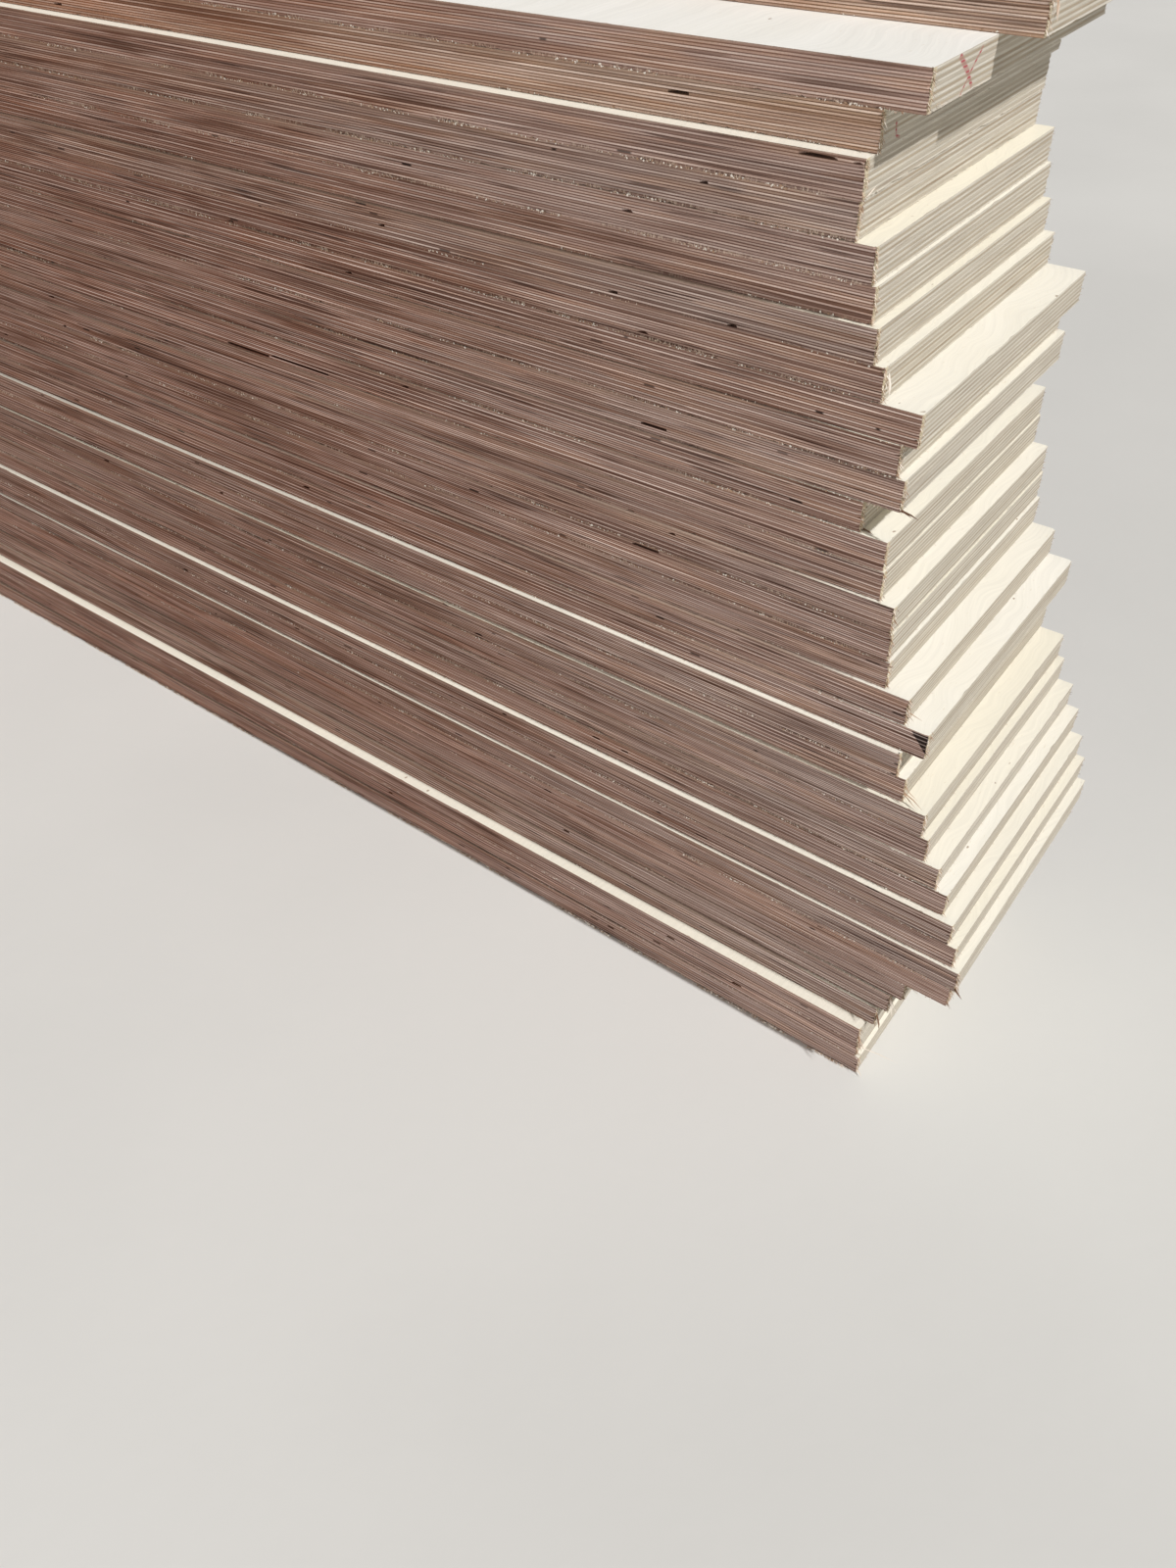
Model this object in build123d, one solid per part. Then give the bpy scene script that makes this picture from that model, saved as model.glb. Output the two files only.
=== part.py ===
"""A hand-laid stack of birch plywood strips, cut to one width, lying flat.

Millimetres, +Z up, +X along the strips, +Y across them. The origin is under
the middle of the stack, on the surface it lies on. Every sheet is one solid:
its plies are glued for good, so they are never pieces of their own.
Sheet 1 is the lowest one and the last sheet lies on top.
"""

from build123d import *
import os

# One sheet. All of them are cut from the same board, to the same size.
sheet_length = 2500.0
sheet_width = 220.0
sheet_thickness = 18.0
ply_count = 13
ply_thickness = sheet_thickness / ply_count

# How far each right-hand end stands out past the datum end, lowest sheet first.
end_offset = [
    73, 70, 70, 76, 82, 90,
    119, 121, 115, 109, 100, 91,
    80, 75, 58, 52, 65, 49,
    33, 31, 30, 20, 19, 2,
    22, 17, 25, 2, -4, -9,
    -11, -22, -21, -20, 0, 20,
]

# How far each front edge stands forward of the datum front, lowest sheet first.
front_offset = [
    39.5, 39.5, 42, 33, 31, 30,
    31, 31.5, 29, 29, 24.5, 24,
    23, 23, 20, 21.5, 17.5, 16.5,
    14, 14, 14, 12, 11.5, 10.5,
    9.5, 9.5, 8.5, 8.5, 9.5, 7,
    8, 8, 8.5, 0, 0, -69,
]

# How far each sheet is turned on the one below the datum, in degrees.
skew = [
    -0.05, -0.20, -0.25, -0.20, -0.20, -0.20,
    -0.20, -0.25, -0.25, -0.20, -0.20, -0.20,
    -0.20, -0.20, -0.15, -0.20, -0.15, -0.10,
    -0.10, -0.05, -0.05, 0.00, 0.00, 0.00,
    0.05, 0.05, 0.10, 0.15, 0.20, 0.25,
    0.30, 0.35, 0.40, 0.40, 0.40, 0.30,
]

# Core voids that the saw opened in the front edges, where a core ply has a gap.
# Sheet, ply from the sheet's underside, distance of the gap's middle from the
# right-hand end, its length along the edge, and how deep it goes in.
core_voids = [
    (20, 12, 165, 20, 6),
    (23, 2, 505, 45, 8),
    (23, 3, 451, 58, 10),
    (25, 4, 154, 18, 9),
    (29, 2, 80, 6, 4),
    (29, 3, 155, 6, 5),
    (32, 10, 83, 5, 4),
    (33, 12, 24, 20, 5),
    (34, 9, 106, 12, 8),
]


def build_sheet(number):
    """One sheet with its front right-hand lower corner at the origin."""
    sheet = Box(
        sheet_length,
        sheet_width,
        sheet_thickness,
        align=(Align.MAX, Align.MIN, Align.MIN),
    )
    for owner, ply, from_end, length, depth in core_voids:
        if owner == number:
            gap = Box(
                length,
                depth,
                ply_thickness,
                align=(Align.CENTER, Align.MIN, Align.MIN),
            )
            sheet -= Pos(-from_end, 0, (ply - 1) * ply_thickness) * gap
    return sheet


def place_sheet(number):
    """The sheet on its level, slid and turned as it was laid down."""
    index = number - 1
    corner = Pos(end_offset[index], -front_offset[index], index * sheet_thickness)
    return corner * Rot(0, 0, skew[index]) * build_sheet(number)


sheet_count = len(end_offset)
sheets = [place_sheet(number) for number in range(1, sheet_count + 1)]

# The middle of the whole stack goes over the origin.
outline = Compound(sheets).bounding_box()
to_middle = Pos(-outline.center().X, -outline.center().Y, 0)

os.makedirs("parts", exist_ok=True)
for number, sheet in enumerate(sheets, start=1):
    export_step(to_middle * sheet, f"parts/sheet_{number:02d}.step")
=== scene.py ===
"""The looks of a hand-laid stack of birch plywood strips.

Every sheet is rebuilt over its CAD solid with its plies, sawn arrises, core gaps
and torn corners. Loose fibres and splinters are pieces of their own. Lengths in
this file are millimetres unless a name or a comment says otherwise.
"""

import math
from functools import reduce

import bpy
import numpy as np
from mathutils import Matrix, Vector


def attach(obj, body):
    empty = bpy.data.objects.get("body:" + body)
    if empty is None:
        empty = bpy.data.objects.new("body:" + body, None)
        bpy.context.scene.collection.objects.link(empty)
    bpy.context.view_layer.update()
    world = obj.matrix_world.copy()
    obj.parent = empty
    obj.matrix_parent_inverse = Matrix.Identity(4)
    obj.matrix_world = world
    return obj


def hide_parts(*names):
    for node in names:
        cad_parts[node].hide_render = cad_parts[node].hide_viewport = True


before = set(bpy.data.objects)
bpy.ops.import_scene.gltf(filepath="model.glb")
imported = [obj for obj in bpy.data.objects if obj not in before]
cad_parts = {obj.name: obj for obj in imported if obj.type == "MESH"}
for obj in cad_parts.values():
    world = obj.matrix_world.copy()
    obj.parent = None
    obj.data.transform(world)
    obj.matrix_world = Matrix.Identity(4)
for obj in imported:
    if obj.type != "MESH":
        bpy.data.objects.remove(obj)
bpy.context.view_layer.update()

MM = 0.001
PLIES = 13
THICK = 18.0
PLY = THICK / PLIES
# Half the height of the glue line at which one ply steps to the next.
GLUE = 0.07
# Nothing loose reaches lower than this above the ground.
LOWEST = 0.02

# The photograph's camera, in the frame's metres and degrees.
CAMERA_PLACE = (1.42687, -0.6612, 0.7608)
CAMERA_AZIMUTH = 38.18
CAMERA_ELEVATION = 43.45
CAMERA_ROLL = -2.11
CAMERA_LENS = 27.55
SENSOR_WIDTH = 36.0

# The lamps: where the light comes from, its spread in degrees, strength and colour.
LAMPS = {
    "key": ((0.655, 0.015, 0.755), 2.5, 3.02, (1.0, 0.995, 0.985)),
    "fill": ((-0.30, -0.95, 0.04), 50.0, 1.50, (1.0, 0.985, 0.965)),
}
SKY_COLOUR = (1.0, 0.96, 0.91, 1.0)
SKY_STRENGTH = 0.22
FLOOR_REACH = 30.0  # metres


# What differs from sheet to sheet

TONES = {
    "m": (155, 129, 119),  # mauve
    "g": (152, 130, 121),  # greyish
    "o": (167, 141, 123),  # ochre
    "p": (159, 130, 118),  # pinkish
    "r": (154, 125, 113),  # reddish
}
# The tone of each sheet, lowest first.
SHEET_TONES = "mpmggmpgmgmgmgmgmrmrmmrrmrrrgrmgmopo"

# How much darker the dark plies are than the rest: 0 is even, 1 is the full contrast.
CONTRAST = {
    36: 0.6, 35: 0.45, 34: 0.30, 33: 0.65, 32: 0.65, 31: 0.7,
    30: 0.7, 29: 0.8, 22: 0.85, 7: 0.8, 4: 0.85,
}
FULL_CONTRAST = 1.0

# How strongly the pale cross plies of each sheet stand out, lowest first.
BOLD = [
    0.6, 0.6, 0.5, 0.75, 0.6, 0.5, 0.45, 0.5, 0.65, 0.45, 0.6, 0.45,
    0.5, 0.4, 0.5, 0.45, 0.7, 0.5, 0.4, 0.6, 0.45, 0.5, 0.7, 0.65,
    0.45, 0.6, 0.8, 0.55, 0.55, 0.5, 0.45, 0.45, 0.45, 0.6, 0.55, 0.6,
]

# How torn a sheet's lower front arris is. The other sheets have the next two values, for
# their chips and for their tufts.
TORN = {
    35: 0.6, 33: 0.9, 32: 0.95, 31: 0.8, 28: 0.9, 26: 0.5, 24: 0.5, 21: 0.8,
    20: 0.7, 16: 0.9, 14: 0.8, 12: 0.8, 10: 0.7, 8: 0.9, 3: 0.8, 2: 0.5, 1: 1.0,
}
TORN_ELSE = 0.25
FRINGE_ELSE = 0.15

# Gaps in the core plies, as in the CAD, then two small torn spots.
# Sheet, ply from the underside, middle from the right-hand end, length, depth.
CORE_GAPS = [
    (20, 12, 165, 20, 6), (23, 2, 505, 45, 8), (23, 3, 451, 58, 10),
    (25, 4, 154, 18, 9), (29, 2, 80, 6, 4), (29, 3, 155, 6, 5),
    (32, 10, 83, 5, 4), (33, 12, 24, 20, 5), (34, 9, 106, 12, 8),
    (33, 12, 4, 5, 2), (28, 2, 478, 6, 2),
]
# Each sheet also has this many small pits by chance.
PITS_BY_CHANCE = 3

# Sheets whose narrow ledge at the front is painted tan, not white: painted shade cast by the sheet
# above.
SHADED_LEDGES = [number for number in range(1, 33) if number not in (3, 8, 10, 14, 16)]

# Dark streaks that stand out: sheet, height, middle from the end, length, strength.
STREAKS = [
    (30, 8.5, 392, 62, 0.95), (29, 6.6, 451, 26, 0.9), (29, 7.6, 470, 50, 0.5),
    (29, 2.4, 84, 30, 0.7), (32, 12.2, 70, 22, 0.6), (15, 14.6, 92, 60, 0.65),
    (15, 9.9, 66, 44, 0.5), (28, 2.4, 500, 50, 0.5), (31, 3.0, 330, 60, 0.6),
    (27, 5.2, 380, 48, 0.6), (24, 9.4, 300, 70, 0.55), (22, 6.5, 640, 90, 0.6),
    (21, 11.8, 470, 60, 0.5), (19, 8.4, 380, 80, 0.5), (31, 14.5, 620, 120, 0.7),
    (33, 9.5, 540, 110, 0.6), (26, 12.0, 720, 100, 0.6), (18, 5.0, 720, 90, 0.5),
]

# The sheet with a dark front right-hand corner, and that corner's foot, rise and run.
STAINED_SHEET = 17.0
STAIN_FOOT, STAIN_RISE, STAIN_RUN = 3.6, 13.6, 11.0

# The length of a cell with at most one short dark dash, and the share of cells with none.
DASH = 11.0
NO_DASH = 0.997

# Strokes of red wax crayon on the right-hand ends: from, to (across, up), half width.
STROKES = {
    35: [
        ((27, 17.4), (40, 8.0), 1.9),
        ((52, 16.5), (41, 7.5), 1.0),
        ((39, 8.5), (46, 1.6), 1.5),
        ((41, 7.5), (34, 0.8), 0.8),
    ],
    34: [
        ((15, 10), (17, 3.5), 1.1),
        ((17, 3.5), (21, 2.2), 0.9),
        ((30, 13), (33, 9), 0.8),
    ],
}

# How far inside the end a splinter starts.
SPLINTER_ROOT = 0.6
# Single long splinters: sheet, its root (across, up), the run to its tip, width, shade.
SPLINTERS = [
    (25, (1, 1.2), (-12, -3, -0.6), 1.3, 0.1),
    (25, (1.5, 0.9), (-9, -4, -0.4), 0.7, 0.25),
    (24, (4, 0.8), (-8.5, -3, -0.2), 0.9, 0.2),
    (28, (6, 14), (-5, -7, -9), 0.7, 0.9),
    (28, (9, 9), (-3, -6, -5), 0.6, 0.8),
    (21, (2, 10), (-4.5, -2, -2), 0.6, 0.25),
    (18, (2, 9), (-11, -2, -1), 0.6, 0.45),
    (18, (3.5, 7), (-6, -3.5, -2), 0.5, 0.6),
    (15, (2, 12), (-11, -4, -4), 0.6, 0.5),
    (15, (1.5, 7), (-15, -4, -4), 0.8, 0.35),
    (15, (2.5, 5), (-11, -5, -3), 0.6, 0.5),
    (14, (5, 16), (-3, -5, -10), 0.9, 0.85),
    (13, (3, 16.5), (-2, -4, -9), 0.8, 0.85),
    (8, (1.5, 2.5), (-8, -5, -1.6), 1.3, 0.15),
    (8, (2.5, 6), (-5, -4, -4), 0.7, 0.3),
    (6, (2, 17), (-12, -3, -2), 0.6, 0.8),
    (5, (1, 15.5), (-9, -6, -5), 0.8, 0.9),
    (5, (1.2, 15), (-7, -9, -7), 0.9, 0.85),
    (4, (2, 12), (-7, -7, -9), 1.1, 0.15),
    (4, (2.5, 9), (-6, -4, -5), 0.7, 0.3),
    (3, (1.5, 9), (-7, -7, -7), 0.8, 0.25),
    (3, (2, 7), (-7.5, -5, -5), 0.6, 0.35),
    (2, (2, 17), (-8, -3, -0.5), 0.6, 0.8),
    (2, (3, 9), (-31, 0, 5), 0.6, 0.85),
    (1, (1, 3), (-6, -3, -1), 0.8, 0.75),
    (36, (5, 17), (-4, -5, -8), 1, 0.55),
    (36, (12, 12), (-3, -6, -7), 0.9, 0.7),
    (35, (10.5, 1.5), (-2.2, -1.2, 1.6), 1.7, 1.00),
    (35, (14.5, 0.8), (-2.6, 1.2, 1.4), 1.6, 1.00),
    (33, (14, 3.4), (-1.2, -13, -2.2), 0.7, 0.9),
]


# Colours


def linear(colour):
    """A colour given as 0 to 255 in sRGB, as linear light."""
    out = []
    for value in colour:
        value = value / 255
        out.append(value / 12.92 if value <= 0.04045 else ((value + 0.055) / 1.055) ** 2.4)
    return (*out, 1.0)


SRGB = {
    # The long edges.
    "far tint": (210, 170, 140),
    "tan tint": (252, 244, 228),
    "pale ply": (200, 191, 186),
    "heartwood": (84, 50, 35),
    "fleck": (62, 36, 25),
    # Painted shade on the uppermost plies of the long edges.
    "ledge shade band": (208, 178, 158),
    "dash": (34, 21, 17),
    "streak": (50, 31, 25),
    "bark": (40, 25, 21),
    # Painted shade in the torn pits of the lower arris.
    "pit_shade": (84, 58, 45),
    "torn hair": (206, 186, 166),
    # Partly a painted highlight on the upper arris, partly pale fuzz.
    "upper arris highlight": (206, 188, 168),
    # The ends.
    "end cream": (208, 201, 187),
    "end cream, darker": (196, 187, 171),
    "end cream of the sheet": (209, 202, 190),
    "end brown": (176, 160, 137),
    "end brown, darker": (156, 138, 114),
    "bright line": (231, 226, 215),
    "end glue": (133, 115, 91),
    "end heartwood": (124, 99, 76),
    "straw": (188, 170, 137),
    "straw, paler": (222, 210, 182),
    "wax": (172, 70, 78),
    # The outer veneers.
    "veneer": (243, 241, 235),
    "veneer, paler": (249, 247, 242),
    "veneer of the sheet": (238, 232, 214),
    "veneer cloud": (242, 237, 223),
    "veneer fleck": (206, 188, 158),
    "pin knot": (137, 103, 72),
    # Painted shade on the narrow ledges.
    "painted ledge shade": (172, 145, 128),
    # Loose fibre, and the studio.
    "dark fibre": (92, 62, 44),
    "tan fibre": (184, 152, 126),
    "pale fibre": (250, 241, 230),
    "floor": (211, 210, 207),
    "floor, paler": (219, 218, 215),
    "backdrop": (226, 226, 224),
}
PAINT = {name: linear(value) for name, value in SRGB.items()}

# What colours are multiplied by, in linear light: the dark plies without and with full
# contrast, then the dark patches.
EVEN_DARK = (0.94, 0.92, 0.91, 1.0)
DEEP_DARK = (0.745, 0.665, 0.615, 1.0)
GLOOM = (0.66, 0.565, 0.505, 1.0)


# Materials


class Graph:
    """One material, with short names for its nodes."""

    def __init__(self, name, roughness, specular):
        self.material = bpy.data.materials.new(name)
        self.material.use_nodes = True
        self.tree = self.material.node_tree
        self.tree.nodes.clear()
        self.shader = self.node("BsdfPrincipled")
        self.shader.inputs["Roughness"].default_value = roughness
        self.shader.inputs["Specular IOR Level"].default_value = specular
        output = self.node("OutputMaterial")
        self.tree.links.new(self.shader.outputs["BSDF"], output.inputs["Surface"])

    def node(self, kind):
        return self.tree.nodes.new("ShaderNode" + kind)

    def put(self, socket, value):
        if isinstance(value, bpy.types.NodeSocket):
            self.tree.links.new(value, socket)
        else:
            socket.default_value = value

    def math(self, operation, *values):
        node = self.node("Math")
        node.operation = operation
        for place, value in enumerate(values):
            self.put(node.inputs[place], value)
        return node.outputs[0]

    def add(self, *values):
        return reduce(lambda total, value: self.math("ADD", total, value), values)

    def times(self, *values):
        return reduce(lambda total, value: self.math("MULTIPLY", total, value), values)

    def less(self, value, amount):
        return self.math("SUBTRACT", value, amount)

    def flip(self, value):
        return self.math("SUBTRACT", 1.0, value)

    def middle(self, within):
        """From 1 halfway through a cell to 0 at its two ends."""
        return self.flip(self.off_middle(within))

    def off_middle(self, within):
        """From 0 halfway through a cell to 1 at its two ends."""
        return self.math("ABSOLUTE", self.less(self.times(within, 2.0), 1.0))

    def step(self, value, low, high, to_low=0.0, to_high=1.0):
        """Goes smoothly from to_low to to_high as value goes from low to high."""
        node = self.node("MapRange")
        node.interpolation_type = "SMOOTHSTEP"
        names = ("Value", "From Min", "From Max", "To Min", "To Max")
        for name, item in zip(names, (value, low, high, to_low, to_high)):
            self.put(node.inputs[name], item)
        return node.outputs["Result"]

    def mix(self, factor, first, second, blend="MIX"):
        node = self.node("Mix")
        node.data_type = "RGBA"
        node.blend_type = blend
        # The places of the factor, the two colours and the result.
        self.put(node.inputs[0], factor)
        self.put(node.inputs[6], first)
        self.put(node.inputs[7], second)
        return node.outputs[2]

    def paint(self, colour, paint, *shares):
        """Lays a paint, often a named one, over the colour. The shares' product is how thickly."""
        if isinstance(paint, str):
            paint = PAINT[paint]
        return self.mix(self.times(*shares), colour, paint)

    def tint(self, colour, paint):
        return self.mix(1.0, colour, paint, "MULTIPLY")

    def scale(self, colour, factor):
        node = self.node("VectorMath")
        node.operation = "SCALE"
        self.put(node.inputs[0], colour)
        self.put(node.inputs["Scale"], factor)
        return node.outputs[0]

    def join(self, x, y, z=0.0):
        node = self.node("CombineXYZ")
        for place, value in enumerate((x, y, z)):
            self.put(node.inputs[place], value)
        return node.outputs[0]

    def split(self, vector):
        node = self.node("SeparateXYZ")
        self.put(node.inputs[0], vector)
        return node.outputs[0], node.outputs[1], node.outputs[2]

    def attribute(self, name, output="Vector"):
        node = self.node("Attribute")
        node.attribute_name = name
        return node.outputs[output]

    def noise(self, vector, detail=2.0, rough=0.5):
        node = self.node("TexNoise")
        self.put(node.inputs["Vector"], vector)
        node.inputs["Scale"].default_value = 1.0
        node.inputs["Detail"].default_value = detail
        node.inputs["Roughness"].default_value = rough
        return node.outputs["Fac"]

    def grain(self, x, x_rate, y, y_rate, z, detail=2.0, rough=0.5):
        """Noise over x and y: the lower a rate, the longer the marks. z sets it apart."""
        place = self.join(self.times(x, x_rate), self.times(y, y_rate), z)
        return self.noise(place, detail, rough)

    def chance(self, x, y, z):
        """Three random numbers for each cell."""
        node = self.node("TexWhiteNoise")
        node.noise_dimensions = "3D"
        self.put(node.inputs["Vector"], self.join(x, y, z))
        return self.split(node.outputs["Color"])

    def finish(self, colour, height, distance):
        """Sets the colour, and a relief of a depth given in metres."""
        self.put(self.shader.inputs["Base Color"], colour)
        bump = self.node("Bump")
        bump.inputs["Distance"].default_value = distance
        self.put(bump.inputs["Height"], height)
        self.tree.links.new(bump.outputs["Normal"], self.shader.inputs["Normal"])
        return self.material


class Wood(Graph):
    """A material of the sheets, which knows where on its sheet each point lies."""

    def __init__(self, name, roughness, specular, seed_step):
        super().__init__(name, roughness, specular)
        self.along, self.across, self.height = self.split(self.attribute("local"))
        self.sheet, self.bold, self.torn = self.split(self.attribute("traits"))
        self.seed = self.times(self.sheet, seed_step)

    def find_plies(self):
        """Sets each point's ply, 1 or 0 for a cross ply, and its nearness to the ply's middle."""
        place = self.math("DIVIDE", self.height, PLY)
        self.ply = self.math("FLOOR", self.math("MINIMUM", place, PLIES - 0.01))
        self.cross = self.math("MODULO", self.ply, 2.0)
        self.core = self.middle(self.less(place, self.ply))


def edge_tones(g, warm):
    """A long edge's own tone, browner in broad patches and towards the far end."""
    tone = g.attribute("tone", "Color")
    patch = g.grain(g.along, 0.004, g.height, 0.05, g.seed)
    far = g.step(g.along, 20.0, 480.0)
    brown = g.add(g.times(g.step(patch, 0.42, 0.66), 0.22), g.times(far, 0.85))
    tone = g.mix(brown, tone, g.tint(tone, PAINT["far tint"]))
    return g.mix(g.step(warm, 0.48, 0.64), tone, g.tint(tone, PAINT["tan tint"]))


def edge_plies(g, tone, contrast, wisp, fade):
    """Every ply has a paler middle. The cross plies are the palest, more so in the bold sheets."""
    first, second, third = g.chance(g.ply, g.sheet, 3.0)
    drift_at = g.join(g.times(g.along, 0.006), g.add(g.times(g.ply, 2.7), g.seed))
    drift = g.noise(drift_at, 3)
    dark_level = g.add(0.80, g.times(first, 0.46), g.times(drift, 0.54))
    pale_level = g.add(0.76, g.times(second, 0.36), g.times(drift, 0.50))
    dark = g.tint(g.scale(tone, dark_level), g.mix(contrast, EVEN_DARK, DEEP_DARK))
    pale = g.scale(g.mix(0.55, tone, PAINT["pale ply"]), g.times(pale_level, 1.66))

    width = g.add(0.60, g.times(third, 0.35))
    boldness = g.add(0.34, g.times(g.bold, 0.66))
    in_cross = g.times(g.cross, g.step(g.core, 0.12, width), boldness, fade)
    plainness = g.add(0.26, g.times(first, 0.42))
    held_back = g.flip(g.times(g.bold, 0.6))
    plain = g.times(g.flip(g.cross), g.step(g.core, 0.15, 0.85), held_back, plainness, fade)
    wave = g.step(wisp, 0.34, 0.60, 0.45, 1.15)
    colour = g.mix(g.times(g.add(in_cross, plain), wave), dark, pale)

    glue = g.step(g.core, 0.34, 0.0)
    glue_depth = g.add(0.34, g.times(third, 0.26))
    return g.scale(colour, g.flip(g.times(glue, fade, glue_depth))), glue


def edge_heartwood(g, colour, contrast, warm):
    """Streaks of dark heartwood within the plies, then dark patches that span several plies."""
    marked = g.step(contrast, 0.25, 0.85, 0.3, 1.0)
    band_seed = g.add(g.seed, g.times(g.ply, 1.9))
    band = g.step(g.grain(g.along, 0.0052, g.height, 0.50, band_seed, 3), 0.51, 0.61)
    colour = g.paint(colour, "heartwood", band, g.flip(g.times(g.cross, 0.5)), marked, 0.66)
    fleck = g.step(g.grain(g.along, 0.0125, g.height, 0.55, g.add(g.seed, 11.0)), 0.60, 0.66)
    colour = g.paint(colour, "fleck", fleck, g.flip(g.times(g.cross, 0.4)), marked, 0.80)
    gloom = g.grain(g.along, 0.0065, g.height, 0.21, g.add(g.seed, 17.0), 3, 0.55)
    gloomy = g.times(g.step(gloom, 0.51, 0.60), g.step(g.along, 80.0, 350.0, 0.5, 1.0))
    colour = g.mix(gloomy, colour, g.tint(colour, GLOOM))
    return g.scale(colour, g.step(warm, 0.47, 0.62, 1.02, 1.17))


def edge_painted_ledge_shade(g, colour, tone):
    """Painted shade: the uppermost plies of most sheets run together in a smooth tan band that
    stands in for the shaded ledge just above them, left off near the right-hand end.
    """
    smooth = g.noise(g.join(g.times(g.along, 0.004), g.add(g.seed, 23.0)), 2)
    foot = g.add(14.4, g.times(g.chance(g.sheet, 6.0, 2.0)[0], 1.6))
    above = g.step(g.height, foot, g.add(foot, 0.5))
    # Where the painted shade lies: the upper plies, away from the right-hand end.
    share = g.times(above, g.step(smooth, 0.40, 0.56), g.step(g.along, 40.0, 160.0))
    tan = g.scale(g.mix(0.3, tone, PAINT["ledge shade band"]), 0.92)
    return g.paint(colour, tan, share, 0.62)


def edge_marks(g, colour):
    """Short dark dashes by chance, the listed streaks, and the corner that is dark as bark."""
    run = g.add(g.times(g.along, 1 / DASH), g.times(g.ply, 0.37), g.seed)
    cell = g.math("FLOOR", run)
    pick, span, faint = g.chance(cell, g.ply, g.add(g.sheet, 40.0))
    chosen = g.math("GREATER_THAN", pick, NO_DASH)
    half = g.add(0.15, g.times(span, 0.65))
    inside = g.step(g.off_middle(g.less(run, cell)), g.add(half, 0.25), g.less(half, 0.1))
    strength = g.add(0.55, g.times(faint, 0.45))
    colour = g.paint(colour, "dash", chosen, inside, g.step(g.core, 0.1, 0.5), strength)

    see_through = g.times(g.cross, g.step(g.core, 0.2, 0.8), 0.45)
    stain = g.attribute("stain", "Fac")
    colour = g.paint(colour, "streak", stain, g.flip(see_through))

    rise = g.times(g.less(g.height, STAIN_FOOT), 1 / STAIN_RISE)
    over = g.less(rise, g.times(g.along, 1 / STAIN_RUN))
    here = g.math("COMPARE", g.sheet, STAINED_SHEET, 0.5)
    cornered = g.times(g.step(over, -0.01, 0.03), g.step(g.height, 17.3, 17.1), here)
    return g.paint(colour, "bark", cornered, g.flip(g.times(see_through, 0.9)))


def edge_arrises(g, colour):
    """Pale torn fibre along the lower arris, with painted shade in its torn pits, and a thin pale
    line along the upper one, partly a painted highlight.
    """
    fuzz = g.grain(g.along, 1.1, g.height, 0.35, g.seed, 2, 0.6)
    cluster = g.noise(g.join(g.times(g.along, 0.035), g.seed), 2)
    torn_here = g.times(g.step(cluster, 0.46, 0.60), g.torn)
    # Painted shade in the torn pits along the lower arris.
    pit_shade = g.times(g.step(g.height, 2.2, 0.6), torn_here, g.step(fuzz, 0.62, 0.42))
    colour = g.paint(colour, "pit_shade", pit_shade, 0.6)
    hair = g.times(g.step(g.height, 2.2, 1.2), g.step(fuzz, 0.50, 0.62), torn_here)
    colour = g.paint(colour, "torn hair", hair, 0.85)
    # Partly a painted highlight where light would catch the upper arris, partly pale fuzz.
    high = g.times(g.step(g.height, 17.35, 17.8), g.step(fuzz, 0.30, 0.62, 0.35, 1.0))
    return g.paint(colour, "upper arris highlight", high, 0.35)


def long_edge_material():
    """The sawn long edge: dark end grain in the odd plies, pale side grain in the cross plies."""
    g = Wood("birch_long_edge", 0.86, 0.25, 7.31)
    g.find_plies()
    contrast = g.attribute("tone", "Alpha")
    wisp = g.grain(g.along, 0.014, g.height, 0.9, g.add(g.seed, g.ply), 3)
    pores = g.grain(g.along, 0.9, g.height, 3.5, g.seed, 2, 0.7)
    warm = g.grain(g.along, 0.011, g.height, 0.13, g.add(g.seed, 5.0), 3)
    # The plies stand out less towards the far end.
    fade = g.step(g.along, 200.0, 700.0, 1.0, 0.74)

    tone = edge_tones(g, warm)
    colour, glue = edge_plies(g, tone, contrast, wisp, fade)
    colour = edge_heartwood(g, colour, contrast, warm)
    colour = edge_painted_ledge_shade(g, colour, tone)
    colour = edge_marks(g, colour)
    colour = edge_arrises(g, colour)
    colour = g.scale(colour, g.step(pores, 0.25, 0.75, 0.86, 1.12))

    saw_at = g.join(g.add(g.times(g.along, 0.4), g.times(g.height, 0.06)), g.seed)
    saw = g.noise(saw_at, 1)
    relief = g.add(g.times(pores, 0.5), g.times(glue, -0.6), g.times(saw, 0.25), g.times(wisp, 0.3))
    return g.finish(colour, relief, 0.00025)


def wax_on(g, strokes, pores):
    """How thickly crayon lies on an end. The wax catches best on the raised fibres."""
    wax = 0.0
    for (x0, y0), (x1, y1), half in strokes:
        length = math.hypot(x1 - x0, y1 - y0)
        ux, uy = (x1 - x0) / length, (y1 - y0) / length
        dx, dy = g.less(g.across, x0), g.less(g.height, y0)
        run = g.add(g.times(dx, ux), g.times(dy, uy))
        off = g.math("ABSOLUTE", g.add(g.times(dx, -uy), g.times(dy, ux)))
        wide = g.step(off, half, half * 0.4)
        inside = g.times(wide, g.step(run, -0.5, 0.5), g.step(run, length + 0.5, length - 0.5))
        wax = g.math("MAXIMUM", wax, inside)
    catch = g.add(0.4, g.times(g.flip(g.cross), g.step(g.core, 0.1, 0.6), 0.6))
    return g.times(wax, catch, g.step(pores, 0.25, 0.55, 0.6, 1.0))


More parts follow.
